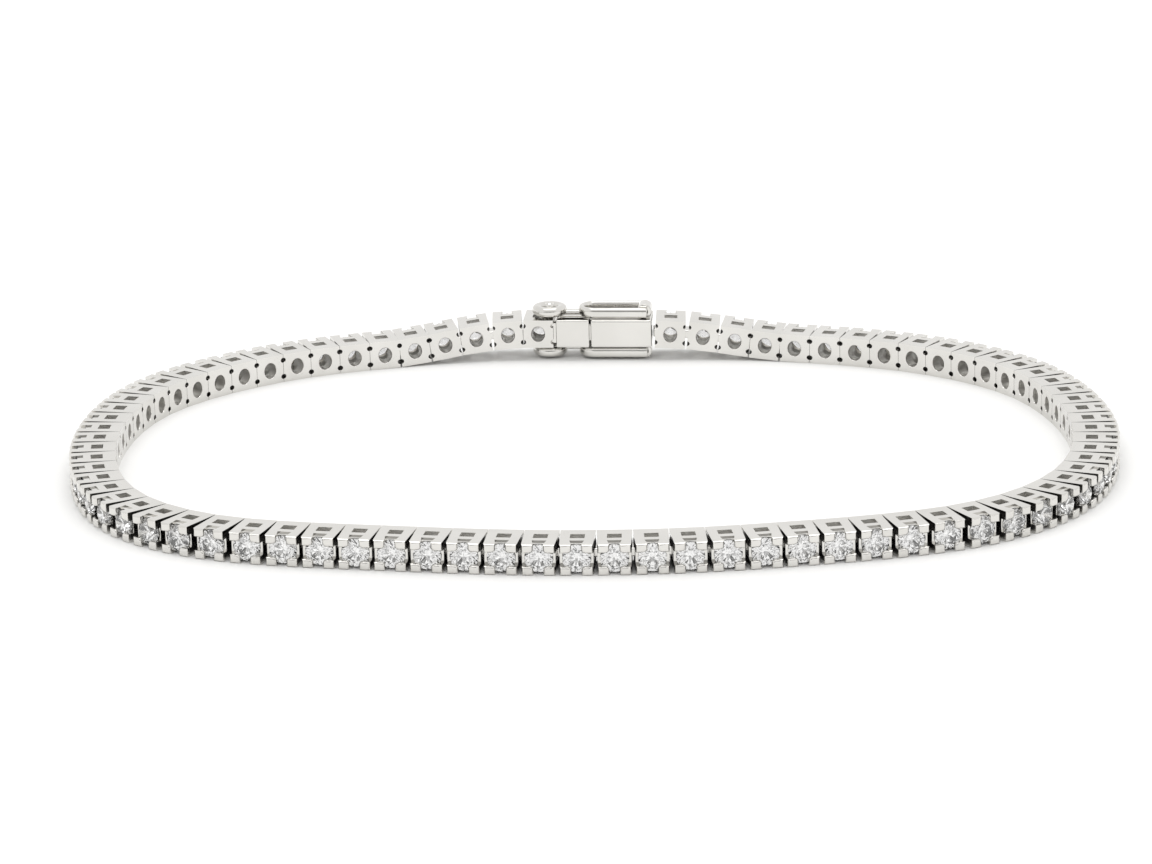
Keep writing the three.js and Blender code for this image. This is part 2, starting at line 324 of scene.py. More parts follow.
def loop_sweep(path, width, height, corners=14, power=2.6, closed=True):
    """A wire of rounded section swept along a flat path of (x, y) points. z is the middle of the section."""
    path = np.array(path, float)
    ahead = np.roll(path, -1, 0) - path
    behind = path - np.roll(path, 1, 0)
    if not closed:
        ahead[-1], behind[0] = behind[-1], ahead[0]
    along = ahead / np.linalg.norm(ahead, axis=1)[:, None] + behind / np.linalg.norm(behind, axis=1)[:, None]
    along /= np.linalg.norm(along, axis=1)[:, None]
    side = np.stack([along[:, 1], -along[:, 0]], 1)
    angles = 2 * np.pi * (np.arange(corners) + 0.5) / corners
    across = np.sign(np.cos(angles)) * abs(np.cos(angles)) ** (2 / power) * width / 2
    up = np.sign(np.sin(angles)) * abs(np.sin(angles)) ** (2 / power) * height / 2
    vertices = [(*(point + normal * a), b) for point, normal in zip(path, side) for a, b in zip(across, up)]
    faces = []
    count = len(path)
    for i in range(count if closed else count - 1):
        for k in range(corners):
            a, b = i * corners, (i + 1) % count * corners
            n = (k + 1) % corners
            faces.append((a + k, a + n, b + n, b + k))
    if not closed:
        faces += [tuple(range(corners)), tuple(range((count - 1) * corners, count * corners))]
    return fix_normals(raw("sweep", vertices, faces))


def moved(obj, x=0.0, y=0.0, z=0.0):
    obj.data.transform(Matrix.Translation((x, y, z)))
    return obj


OUTSIDE = -1.0
CREASE = math.cos(math.radians(50))


class Template:
    """Points, faces and shading normals of a mesh that is repeated. A link's points also keep their
    place in the link, so that its material knows how deep in the setting they are."""

    def __init__(self, obj, keeps_place=False):
        mesh = obj.data
        flat = np.empty(len(mesh.vertices) * 3)
        mesh.vertices.foreach_get("co", flat)
        self.points = flat.reshape(-1, 3)
        self.faces = [tuple(face.vertices) for face in mesh.polygons]
        self.cell = self.points.copy() if keeps_place else np.full((len(self.points), 3), OUTSIDE)
        self.normals = self.corner_normals(mesh)
        bpy.data.objects.remove(obj)

    def corner_normals(self, mesh):
        """Flat on the large faces and turning over the small ones between them, up to a crease."""
        normals = np.array([face.normal[:] for face in mesh.polygons])
        weights = np.array([face.area for face in mesh.polygons]) ** 2
        around = [[] for _ in self.points]
        for number, face in enumerate(self.faces):
            for corner in face:
                around[corner].append(number)
        around = [np.array(numbers, int) for numbers in around]
        result = []
        for number, face in enumerate(self.faces):
            for corner in face:
                near = around[corner]
                near = near[normals[near] @ normals[number] > CREASE]
                total = weights[near] @ normals[near] if len(near) else normals[number]
                length = np.linalg.norm(total)
                result.append(total / length if length > 0 else normals[number])
        return np.array(result)


def assemble(name, parts, material, smooth=True):
    """One object in metres from [(template, frame in metres)]."""
    points, cells, normals, faces, total = [], [], [], [], 0
    for template, matrix in parts:
        points.append(template.points @ matrix[:3, :3].T + matrix[:3, 3])
        cells.append(template.cell)
        normals.append(template.normals @ matrix[:3, :3].T / MM)
        faces += [tuple(corner + total for corner in face) for face in template.faces]
        total += len(template.points)
    mesh = bpy.data.meshes.new(name)
    mesh.from_pydata(np.concatenate(points).tolist(), [], faces)
    mesh.polygons.foreach_set("use_smooth", [smooth] * len(faces))
    cell = mesh.attributes.new("cell", "FLOAT_VECTOR", "POINT")
    cell.data.foreach_set("vector", np.concatenate(cells).ravel().astype(np.float32))
    mesh.materials.append(material)
    mesh.update()
    if smooth:
        mesh.normals_split_custom_set(np.concatenate(normals).tolist())
    return add_object(name, mesh)


# Materials

def noise_ramp(nodes, links, vector, scale, detail, stops):
    noise = nodes.new("ShaderNodeTexNoise")
    noise.inputs["Scale"].default_value = scale
    noise.inputs["Detail"].default_value = detail
    links.new(vector, noise.inputs["Vector"])
    ramp = nodes.new("ShaderNodeValToRGB")
    for element, (place, colour) in zip(ramp.color_ramp.elements, stops):
        element.position = place
        element.color = (*colour, 1)
    links.new(noise.outputs["Fac"], ramp.inputs["Fac"])
    return noise, ramp


def metal_material(name, dark, light, rough, bump, painted_light_and_shade):
    """Polished white metal: faint cloudiness in tone and gloss, with fine polishing marks. Deep on a link's
    end walls it is painted dark, a painted shade between the links, and in the slots and hole it takes the
    palest tone, a slight painted lightening; both places are dull."""
    material = bpy.data.materials.new(name)
    material.use_nodes = True
    nodes, links = material.node_tree.nodes, material.node_tree.links
    shader = nodes["Principled BSDF"]
    shader.inputs["Metallic"].default_value = 1.0

    def math_node(operation, a, b=0.0):
        node = nodes.new("ShaderNodeMath")
        node.operation = operation
        for socket, value in zip(node.inputs, (a, b)):
            if isinstance(value, float):
                socket.default_value = value
            else:
                links.new(value, socket)
        return node.outputs["Value"]

    def smooth_step(value, low, high, to_low=0.0, to_high=1.0):
        node = nodes.new("ShaderNodeMapRange")
        node.interpolation_type = "SMOOTHSTEP"
        for socket, number in zip(("From Min", "From Max", "To Min", "To Max"), (low, high, to_low, to_high)):
            node.inputs[socket].default_value = number
        links.new(value, node.inputs["Value"])
        return node.outputs["Result"]

    def mix(kind, share, a, b):
        node = nodes.new("ShaderNodeMix")
        node.data_type = kind
        links.new(share, node.inputs["Factor"])
        offset = {"FLOAT": 2, "RGBA": 6}[kind]
        for socket, value in zip((node.inputs[offset], node.inputs[offset + 1]), (a, b)):
            if isinstance(value, (float, tuple)):
                socket.default_value = value
            else:
                links.new(value, socket)
        return node.outputs[{"FLOAT": 0, "RGBA": 2}[kind]]

    cell = nodes.new("ShaderNodeAttribute")
    cell.attribute_name = "cell"
    parts = nodes.new("ShaderNodeSeparateXYZ")
    links.new(cell.outputs["Vector"], parts.inputs["Vector"])
    across = math_node("ABSOLUTE", parts.outputs["X"])
    depth = parts.outputs["Y"]
    height = math_node("ABSOLUTE", math_node("SUBTRACT", parts.outputs["Z"], MIDDLE))
    below_side = math_node("SUBTRACT", MIDDLE, height)
    below_face = math_node("MINIMUM", depth, math_node("SUBTRACT", LINK_DEPTH, depth))
    below = math_node("MINIMUM", below_side, below_face)
    behind = smooth_step(depth, SEAT_DEPTH - 0.15, SEAT_DEPTH - 0.02, 1.0, 0.0)
    # Painted shade on the end walls, but beside the stone only on their outermost part
    wide = math_node("MULTIPLY", smooth_step(across, INNER_HALF - 0.24, INNER_HALF - 0.12), behind)
    wide = math_node("MAXIMUM", wide, smooth_step(across, INNER_HALF - 0.025, INNER_HALF - 0.005))
    painted_wall_shade = math_node("MULTIPLY", wide, smooth_step(below, 0.07, 0.3))
    # The painted shade is lighter at the lug and at the inner face
    painted_wall_shade = math_node("MULTIPLY", painted_wall_shade, smooth_step(height, 0.24, 0.4, 0.25, 1.0))
    painted_wall_shade = math_node("MULTIPLY", painted_wall_shade, smooth_step(depth, 0.1, 0.6, 0.5, 1.0))
    # Painted light: the slots and hole take the palest metal tone, lightening their shade
    slot = math_node("MULTIPLY", smooth_step(depth, SEAT_DEPTH - 0.4, SEAT_DEPTH - 0.1, 1.0, 0.0),
                     smooth_step(across, SLOT_HALF + 0.02, SLOT_HALF + 0.15, 1.0, 0.0))
    slot = math_node("MULTIPLY", slot, smooth_step(below, 0.01, 0.06))

    coordinates = nodes.new("ShaderNodeTexCoord")
    place = coordinates.outputs["Object"]
    _, tone = noise_ramp(nodes, links, place, 260, 3, ((0.35, dark), (0.7, light)))
    # Base colour: painted light in the slots and hole, painted shade on the end walls
    shade = mix("RGBA", slot, tone.outputs["Color"], (*painted_light_and_shade[0], 1.0))
    shade = mix("RGBA", painted_wall_shade, shade, (*painted_light_and_shade[1], 1.0))
    links.new(shade, shader.inputs["Base Color"])
    grey = [(value, value, value) for value in rough]
    _, gloss = noise_ramp(nodes, links, place, 700, 4, ((0.35, grey[0]), (0.75, grey[1])))
    dull = math_node("MAXIMUM", slot, painted_wall_shade)
    links.new(mix("FLOAT", dull, gloss.outputs["Color"], 0.45), shader.inputs["Roughness"])
    stretch = nodes.new("ShaderNodeMapping")
    stretch.inputs["Scale"].default_value = (1.0, 1.0, 9.0)
    links.new(place, stretch.inputs["Vector"])
    marks, _ = noise_ramp(nodes, links, stretch.outputs["Vector"], 1400, 5, ())
    relief = nodes.new("ShaderNodeBump")
    relief.inputs["Strength"].default_value = bump
    relief.inputs["Distance"].default_value = 0.00001
    links.new(marks.outputs["Fac"], relief.inputs["Height"])
    links.new(relief.outputs["Normal"], shader.inputs["Normal"])
    return material


def stone_material():
    """Clear brilliant, with hardly any tint."""
    material = bpy.data.materials.new("stone_clear")
    material.use_nodes = True
    nodes, links = material.node_tree.nodes, material.node_tree.links
    shader = nodes["Principled BSDF"]
    shader.inputs["Transmission Weight"].default_value = 1.0
    shader.inputs["IOR"].default_value = 2.42
    shader.inputs["Roughness"].default_value = 0.04
    coordinates = nodes.new("ShaderNodeTexCoord")
    _, tint = noise_ramp(nodes, links, coordinates.outputs["Object"], 300, 2,
                         ((0.3, (0.97, 0.97, 0.975)), (0.7, (1.0, 1.0, 1.0))))
    links.new(tint.outputs["Color"], shader.inputs["Base Color"])
    return material


# Painted light and shade: a pale colour in the slots and holes, and a dark painted shade on the end walls
PAINTED_LIGHT_AND_SHADE = ((0.74, 0.728, 0.7), (0.1, 0.097, 0.091))
polished = metal_material("metal_polished", (0.68, 0.668, 0.64), (0.74, 0.728, 0.702),
                          (0.07, 0.15), 0.25, PAINTED_LIGHT_AND_SHADE)
clear = stone_material()


# One link: base with a round hole, slots, bar, seat and four prongs

def grid_solid(xs, ys, zs, filled):
    """The outer faces of the filled cells of a grid, as one closed mesh."""
    index = {}
    vertices, faces = [], []

    def corner(i, j, k):
        if (i, j, k) not in index:
            index[i, j, k] = len(vertices)
            vertices.append((xs[i], ys[j], zs[k]))
        return index[i, j, k]

    def is_filled(i, j, k):
        return (0 <= i < len(xs) - 1 and 0 <= j < len(ys) - 1 and 0 <= k < len(zs) - 1
                and filled(i, j, k))

    for i in range(len(xs) - 1):
        for j in range(len(ys) - 1):
            for k in range(len(zs) - 1):
                if not is_filled(i, j, k):
                    continue
                for axis in range(3):
                    for side in (0, 1):
                        near = [i, j, k]
                        near[axis] += 1 if side else -1
                        if is_filled(*near):
                            continue
                        u, v = (axis + 1) % 3, (axis + 2) % 3
                        face = []
                        for du, dv in ((0, 0), (1, 0), (1, 1), (0, 1)):
                            place = [i, j, k]
                            place[axis] += side
                            place[u] += du
                            place[v] += dv
                            face.append(corner(*place))
                        faces.append(tuple(face))
    return fix_normals(raw("grid", vertices, faces))


TIP_ROUNDING = 0.13
INNER_ROUNDING = 0.2
TIP_REACH = 0.13
TIP_START = 2.52
TIP_END = 2.72
EDGE_ROUNDING = 0.035
HOLE_HALF_WIDTH = 0.43
HOLE_HALF_HEIGHT = 0.5
NOTCH_RADIUS = 0.135
NOTCH_DEPTH = 0.5
NOTCH_HEIGHT = 0.56
OUTER_HALF = 0.985
WALL_TOP = 2.42
TOUCH_CLEARANCE = 0.012
POCKET_DEPTH = 0.16
POCKET_MARGIN = 0.1
LEDGE_DROP = 0.08
LEDGE_DEPTH = 0.42
LEDGE_BITE = 0.03
SEAT_RADIUS = 0.74
STONE_CLEARANCE = 0.008
CROWN_CUT_SLOPE = 0.69
NEAR = 0.01


def link_template():
    xs = (-INNER_HALF, -SLOT_HALF, SLOT_HALF, INNER_HALF)
    ys = (0, BASE_THICKNESS, SLOT_END, SEAT_DEPTH, WALL_TOP, LINK_DEPTH)
    zs = (0, PRONG_HEIGHT, LINK_HEIGHT - PRONG_HEIGHT, LINK_HEIGHT)

    def filled(i, j, k):
        return j in (0, 2) or (j in (1, 3) and i != 1) or (j == 4 and i != 1 and k != 1)

    obj = grid_solid(xs, ys, zs, filled)
    bm = bmesh.new()
    bm.from_mesh(obj.data)
    bmesh.ops.dissolve_limit(bm, angle_limit=0.01, verts=bm.verts, edges=bm.edges)

    def inner_edge(edge):
        a, b = (vert.co for vert in edge.verts)
        return (abs(a.y - b.y) > 0.3
                and min(a.y, b.y) > SEAT_DEPTH - NEAR and max(a.y, b.y) > LINK_DEPTH - NEAR
                and abs(abs(a.x) - SLOT_HALF) < NEAR
                and abs(abs(a.z - MIDDLE) - (MIDDLE - PRONG_HEIGHT)) < NEAR)

    bmesh.ops.bevel(bm, geom=[e for e in bm.edges if inner_edge(e)], offset=INNER_ROUNDING,
                    offset_type="OFFSET", segments=3, profile=0.5, affect="EDGES", clamp_overlap=True)
    tips = [e for e in bm.edges if all(v.co.y > LINK_DEPTH - 0.001 for v in e.verts)
            and len(e.link_faces) == 2 and e.calc_face_angle(0) > 0.5]
    bmesh.ops.bevel(bm, geom=tips, offset=TIP_ROUNDING, offset_type="OFFSET", segments=3, profile=0.5,
                    affect="EDGES", clamp_overlap=True)
    bm.to_mesh(obj.data)
    bm.free()

    seat = lathe([(0.46, SLOT_END - 0.2), (0.52, SLOT_END),
                  (SEAT_RADIUS, SEAT_DEPTH), (SEAT_RADIUS, SEAT_DEPTH + 0.2)],
                 28, "Y", (0, 0, MIDDLE))
    loose = STONE_RADIUS + STONE_CLEARANCE
    girdle = lathe([(0.05, GIRDLE - 0.80), (loose, GIRDLE - 0.03), (loose, GIRDLE + 0.03),
                    (0.2, GIRDLE + 0.03 + (STONE_RADIUS - 0.2) * CROWN_CUT_SLOPE)],
                   32, "Y", (0, 0, MIDDLE))
    low = (LINK_HEIGHT - LUG_HEIGHT) / 2
    pockets = [block((x0, LUG_INSET - POCKET_MARGIN, low - POCKET_MARGIN),
                     (x1, LUG_INSET + LUG_DEPTH + POCKET_MARGIN, low + LUG_HEIGHT + POCKET_MARGIN))
               for x0, x1 in ((-2.0, POCKET_DEPTH - INNER_HALF), (INNER_HALF - POCKET_DEPTH, 2.0))]
    ledges = [block((-SLOT_HALF - LEDGE_BITE, SEAT_DEPTH - 0.04, z0),
                    (SLOT_HALF + LEDGE_BITE, WALL_TOP - LEDGE_BITE, z0 + LEDGE_DEPTH))
              for z0 in (LEDGE_DROP, LINK_HEIGHT - LEDGE_DROP - LEDGE_DEPTH)]
    join(obj, *ledges)
    cut(obj, seat, girdle, *pockets)
    soften(obj, EDGE_ROUNDING, 2, 40)
    hole = lathe([(1.08, -0.5), (1.08, 0), (1.0, 0.05), (1.0, BASE_THICKNESS + 0.2)],
                 32, "Y", (0, 0, MIDDLE), (HOLE_HALF_WIDTH, HOLE_HALF_HEIGHT))
    mouth = NOTCH_RADIUS + 0.03
    notches = [lathe([(mouth, -0.5), (mouth, 0), (NOTCH_RADIUS, 0.04), (NOTCH_RADIUS, NOTCH_DEPTH)],
                     16, "Y", (x, 0, MIDDLE + z))
               for x in (-INNER_HALF, INNER_HALF) for z in (-NOTCH_HEIGHT, NOTCH_HEIGHT)]
    cut(obj, hole, *notches)
    return reaching(Template(obj, True))


def reaching(template):
    """The prong tips reach inwards over the stone, as broad feet."""
    x, y, _ = template.points.T
    share = np.clip((y - TIP_START) / (TIP_END - TIP_START), 0, 1)
    inside = np.clip((INNER_HALF - abs(x)) / (INNER_HALF - SLOT_HALF), 0, 1)
    template.points[:, 0] -= np.sign(x) * TIP_REACH * share * inside
    return template


def fitted(template, before, after):
    """The link with its two ends widened at the inner face, to just clear its neighbours."""
    x, y = template.points[:, 0], template.points[:, 1] / LINK_DEPTH
    inner = np.where(x > 0, after, before)
    half = inner + (OUTER_HALF - inner) * y
    beyond = np.maximum(0, abs(x) - SLOT_HALF)
    wide = np.minimum(abs(x), SLOT_HALF) + beyond * (half - SLOT_HALF) / (INNER_HALF - SLOT_HALF)
    result = copy.copy(template)
    result.points = np.column_stack([np.sign(x) * wide, template.points[:, 1:]])
    return result


def end_widths(frames):
    """How far each link reaches at its inner face on either side, so that it just clears the next one."""
    halves = []
    for one, other in zip(frames, frames[1:]):
        turn = one[:3, :3].T @ other[:3, 0]
        sideways, upwards = abs(math.atan2(turn[1], turn[0])), abs(math.atan2(turn[2], turn[0]))
        halves.append(LINK_PITCH / 2 - HINGE_DEPTH * math.tan(sideways / 2) - MIDDLE * math.tan(upwards / 2)
                      - TOUCH_CLEARANCE)
    return halves


def lug_template(start, end):
    low = (LINK_HEIGHT - LUG_HEIGHT) / 2
    bar = block((start, LUG_INSET, low), (end, LUG_INSET + LUG_DEPTH, low + LUG_HEIGHT), 0.09, 3)
    return Template(bar)


# A brilliant: table, stars, kites, upper and lower halves, girdle and pavilion
TABLE_SHARE = 0.55
STAR_SHARE = 0.5
LOWER_SHARE = 0.22
GIRDLE_HALF = 0.015
CROWN_SLOPE = math.tan(math.radians(34.5))
PAVILION_SLOPE = math.tan(math.radians(40.8))


def stone_template():
    eighth = math.pi / 8
    radius = STONE_RADIUS

    def ring(share, start, slope, sign):
        places = []
        for k in range(8):
            angle = 2 * eighth * k + start
            height = GIRDLE_HALF + (radius - share * radius * math.cos(start)) * slope
            places.append((share * radius * math.cos(angle), sign * height, share * radius * math.sin(angle)))
        return places

    table_edge = TABLE_SHARE * math.cos(eighth)
    star = table_edge + STAR_SHARE * (1 - table_edge)
    vertices = ring(TABLE_SHARE, 0, CROWN_SLOPE, 1) + ring(star, eighth, CROWN_SLOPE, 1)
    upper, lower = 16, 32
    for sign in (1, -1):
        vertices += [(radius * math.cos(eighth * k), sign * GIRDLE_HALF, radius * math.sin(eighth * k))
                     for k in range(16)]
    joints = len(vertices)
    vertices += ring(LOWER_SHARE, eighth, PAVILION_SLOPE, -1)
    culet = len(vertices)
    vertices.append((0, -GIRDLE_HALF - radius * PAVILION_SLOPE, 0))
    faces = [tuple(range(8))]
    for k in range(8):
        n, before = (k + 1) % 8, (k - 1) % 8
        here, half, after = 2 * k, 2 * k + 1, (2 * k + 2) % 16
        faces.append((k, n, 8 + k))
        faces.append((k, 8 + k, upper + here, 8 + before))
        faces += [(8 + k, upper + half, upper + here), (8 + k, upper + after, upper + half)]
        faces += [(upper + here, upper + half, lower + half, lower + here),
                  (upper + half, upper + after, lower + after, lower + half)]
        faces += [(joints + k, lower + here, lower + half), (joints + k, lower + half, lower + after)]
        faces.append((culet, joints + k, lower + here, joints + before))
    return Template(fix_normals(raw("stone", vertices, faces)))


def stone_frames(frames):
    """Each stone sits a little turned and tilted in its setting."""
    placed = []
    for matrix in frames:
        turn = Matrix.Rotation(RANDOM.uniform(0, 2 * math.pi), 4, "Y")
        tilt = (Matrix.Rotation(RANDOM.normal(0, STONE_TILT), 4, "X")
                @ Matrix.Rotation(RANDOM.normal(0, STONE_TILT), 4, "Z"))
        placed.append(shifted(matrix, 0, GIRDLE, MIDDLE) @ np.array(tilt @ turn))
    return placed


STONE_TILT = 0.02
RANDOM = np.random.default_rng(5)
link = link_template()
stone = stone_template()
bite = LINK_GAP / 2 + LUG_BITE
short = LINK_GAP / 2 - CLASP_GAP
whole_lug = lug_template(-bite, bite)
first_lug = lug_template(-short, bite)
last_lug = lug_template(-bite, short)

pieces = []


def finish_piece(obj, body, slot, *nodes):
    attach(obj, body)
    if nodes:
        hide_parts(*nodes)
    pieces.append(obj)
    return obj


link_frames = [link_frame(index) for index in range(FREE_LINKS)]
end_link = shifted(clasp_frame, END_LINK_PLACE)
gaps = end_widths([clasp_frame] + link_frames + [end_link])
for side, first, last in (("right", 0, RIGHT_LINKS - 1), ("left", RIGHT_LINKS, FREE_LINKS - 1)):
    frames = link_frames[first:last + 1]
    parts = [(fitted(link, gaps[index], gaps[index + 1]), in_metres(link_frames[index]))
             for index in range(first, last + 1)]
    parts += [(whole_lug, in_metres(hinge_frame(index))) for index in range(first + 1, last + 1)]
    if side == "right":
        parts += [(first_lug, in_metres(hinge_frame(0))), (whole_lug, in_metres(hinge_frame(RIGHT_LINKS)))]
    else:
        parts.append((last_lug, in_metres(hinge_frame(FREE_LINKS))))
    metal = assemble(f"chain_{side}_metal", parts, polished)
    finish_piece(metal, "bracelet", "white_metal", f"chain_{side}")
    placed = [(stone, in_metres(matrix)) for matrix in stone_frames(frames)]
    stones = assemble(f"chain_{side}_stones", placed, clear, False)
    finish_piece(stones, "bracelet", "stone")


# The clasp, in its own frame

def both_ways(obj):
    """A template on the upper side, and the same turned over onto the lower side."""
    other = obj.copy()
    other.data = obj.data.copy()
    bpy.context.scene.collection.objects.link(other)
    turn = Matrix.Translation((0, LATCH_MIDDLE, MIDDLE)) @ Matrix.Rotation(math.pi, 4, "X")
    other.data.transform(turn @ Matrix.Translation((0, -LATCH_MIDDLE, -MIDDLE)))
    return [obj, other]


def clasp_box():
    shell = block((BOX_MOUTH, 0, 0), (BOX_END, CLASP_DEPTH, LINK_HEIGHT))
    hollow = block((BOX_MOUTH - BOX_WALL, BOX_WALL, BOX_WALL),
                   (BOX_END - BOX_WALL, CLASP_DEPTH - BOX_WALL, LINK_HEIGHT - BOX_WALL), 0.1, 2)
    soften(shell, 0.13, 4, 40)
    cut(shell, hollow)
    half = LATCH_HALF - LATCH_ARM - PIN_CLEARANCE
    high = LINK_HEIGHT + KNUCKLE_HEIGHT
    edge = 0.06
    low_end, high_end = LATCH_MIDDLE - half, LATCH_MIDDLE + half
    knuckle = lathe([(KNUCKLE_RADIUS - edge, low_end), (KNUCKLE_RADIUS, low_end + edge),
                     (KNUCKLE_RADIUS, high_end - edge), (KNUCKLE_RADIUS - edge, high_end)],
                    32, "Y", (PIN_PLACE, 0, high))
    join(shell, *both_ways(knuckle))
    bore = lathe([(PIN_RADIUS + 0.03, -LINK_DEPTH), (PIN_RADIUS + 0.03, 2 * LINK_DEPTH)], 20, "Y",
                 (PIN_PLACE, 0, high))
    cut(shell, *both_ways(bore))
    return Template(soften(shell, 0.025, 2, 50))


def ball():
    top = CLASP_LIFT
    profile = [(0, -LUG_BITE), (BALL_POST_RADIUS, -LUG_BITE), (BALL_POST_RADIUS, BALL_POST_HEIGHT)]
    middle = top - BALL_HALF_HEIGHT
    for step in range(1, 9):
        angle = math.radians(-52 + step * (52 + 90) / 8)
        profile.append((max(0.0, BALL_RADIUS * math.cos(angle)),
                        middle + BALL_HALF_HEIGHT * math.sin(angle)))
    profile[-1] = (0, top)
    return lathe(profile, 24, "Z", (BALL_PLACE, LATCH_MIDDLE, LINK_HEIGHT))


def clasp_tongue():
    body = block((BLOCK_START, 0, 0), (BLOCK_END, CLASP_DEPTH, LINK_HEIGHT), 0.1, 3)
    centre = (BLOCK_START + BLOCK_END) / 2
    slot = block((centre - BLOCK_SLOT_LENGTH / 2, BLOCK_SLOT_INSET, -1),
                 (centre + BLOCK_SLOT_LENGTH / 2, BLOCK_SLOT_INSET + BLOCK_SLOT_DEPTH, LINK_HEIGHT + 1))
    outer_leaf = CLASP_DEPTH - BOX_WALL - SPRING_CLEARANCE - SPRING_THICKNESS
    low = (LINK_HEIGHT - TAB_WIDTH) / 2
    recess = block((BLOCK_END - TAB_OVERHANG, outer_leaf - CLASP_GAP, low - CLASP_GAP),
                   (BOX_MOUTH, LINK_DEPTH, LINK_HEIGHT - low + CLASP_GAP))
    cut(body, slot, recess)
    soften(body, 0.03, 2, 40)
    solder = block((BLOCK_START - LINK_GAP - LUG_BITE, SOLDER_INSET, SOLDER_INSET),
                   (BLOCK_START + LUG_BITE, SEAT_DEPTH - SOLDER_INSET, LINK_HEIGHT - SOLDER_INSET), 0.06, 2)
    templates = [Template(body), Template(solder)] + [Template(part) for part in both_ways(ball())]
    return templates + [Template(part) for part in spring()]


def spring():
    tip = BOX_END - BOX_WALL - SPRING_END
    inner = BOX_WALL + SPRING_CLEARANCE
    outer = CLASP_DEPTH - inner
    root = BLOCK_END - LUG_BITE
    stem_end = BLOCK_END - CLASP_GAP
    stem_start = stem_end - SPRING_THICKNESS
    tab_bottom = CLASP_DEPTH + TAB_CLEARANCE
    radius = (outer - inner) / 2
    bend = [(tip - radius + radius * math.cos(a), (inner + outer) / 2 + radius * math.sin(a))
            for a in np.linspace(-math.pi / 2, math.pi / 2, 13)]
    thin = radius - SPRING_THICKNESS
    inside = [(tip - radius + thin * math.cos(a), (inner + outer) / 2 + thin * math.sin(a))
              for a in np.linspace(math.pi / 2, -math.pi / 2, 13)]
    outline = ([(root, inner)] + bend + [(stem_end, outer), (stem_end, tab_bottom + TAB_THICKNESS / 2),
               (stem_start, tab_bottom + TAB_THICKNESS / 2), (stem_start, outer - SPRING_THICKNESS)]
               + inside + [(root, inner + SPRING_THICKNESS)])
    strip = soften(prism(outline, inner, LINK_HEIGHT - inner), 0.03, 2, 40)
    start = stem_start - TAB_OVERHANG
    top = tab_bottom + TAB_THICKNESS
    shape = [(start, tab_bottom), (start + TAB_LENGTH, tab_bottom), (start + TAB_LENGTH, top)]
    for step in range(7):
        share = step / 6
        slope = TAB_LIP_HEIGHT * (1 - share)
        shape.append((start + TAB_LIP_THICKNESS + slope, top + TAB_LIP_HEIGHT * share ** 1.6))
    shape.append((start, top + TAB_LIP_HEIGHT))
    low = (LINK_HEIGHT - TAB_WIDTH) / 2
    tab = soften(prism(shape, low, low + TAB_WIDTH), 0.09, 3, 50)
    return [strip, tab]


def safety_latch():
    middle_height = LINK_HEIGHT + KNUCKLE_HEIGHT
    hole = BALL_RADIUS + BALL_CLEARANCE
    ring_path = [(BALL_PLACE + (LATCH_HALF + hole) / 2 * math.cos(a),
                  LATCH_MIDDLE + (LATCH_HALF + hole) / 2 * math.sin(a))
                 for a in np.linspace(0, 2 * math.pi, 49)[:-1]]
    ring = moved(loop_sweep(ring_path, LATCH_HALF - hole, LATCH_THICKNESS, 20, 2.4), z=middle_height)
    fork_start = BALL_PLACE + LATCH_HALF + LATCH_NECK_LENGTH
    arm = LATCH_HALF - LATCH_ARM / 2
    bend = [(fork_start + LATCH_HALF + arm * math.cos(a), LATCH_MIDDLE + arm * math.sin(a))
            for a in np.linspace(-math.pi / 2, -3 * math.pi / 2, 25)]
    end = PIN_PLACE + LATCH_THICKNESS / 2 - 0.12
    path = [(end, LATCH_MIDDLE - arm)] + bend + [(end, LATCH_MIDDLE + arm)]
    fork = moved(loop_sweep(path, LATCH_ARM, LATCH_THICKNESS, 20, 2.6, False), z=middle_height)
    soften(fork, 0.1, 3, 60)
    base = LINK_HEIGHT + LATCH_CLEARANCE
    neck = block((BALL_PLACE + LATCH_HALF - 0.3, LATCH_MIDDLE - LATCH_NECK_WIDTH / 2, base),
                 (fork_start + 0.2, LATCH_MIDDLE + LATCH_NECK_WIDTH / 2, base + LATCH_NECK_THICKNESS), 0.1, 3)
    pin = lathe([(PIN_RADIUS, LATCH_MIDDLE - arm), (PIN_RADIUS, LATCH_MIDDLE + arm)], 24, "Y",
                (PIN_PLACE, 0, middle_height))
    return join(fork, ring, neck, pin)


CLASP = in_metres(clasp_frame)
finish_piece(assemble("clasp_box_shell", [(clasp_box(), CLASP)], polished),
             "bracelet", "white_metal", "clasp_box")
tongue_parts = [(template, CLASP) for template in clasp_tongue()]
tongue_parts.append((fitted(link, gaps[-1], INNER_HALF + 0.05), in_metres(end_link)))
finish_piece(assemble("clasp_tongue_metal", tongue_parts, polished),
             "bracelet", "white_metal", "clasp_tongue")
end_stone = [(stone, in_metres(matrix)) for matrix in stone_frames([end_link])]
finish_piece(assemble("clasp_tongue_stone", end_stone, clear, False), "bracelet", "stone")
for name, shape in zip(("upper", "lower"), both_ways(safety_latch())):
    latch = assemble(f"safety_latch_{name}_wire", [(Template(shape), CLASP)], polished)
    finish_piece(latch, f"latch_{name}", "white_metal", f"safety_latch_{name}")


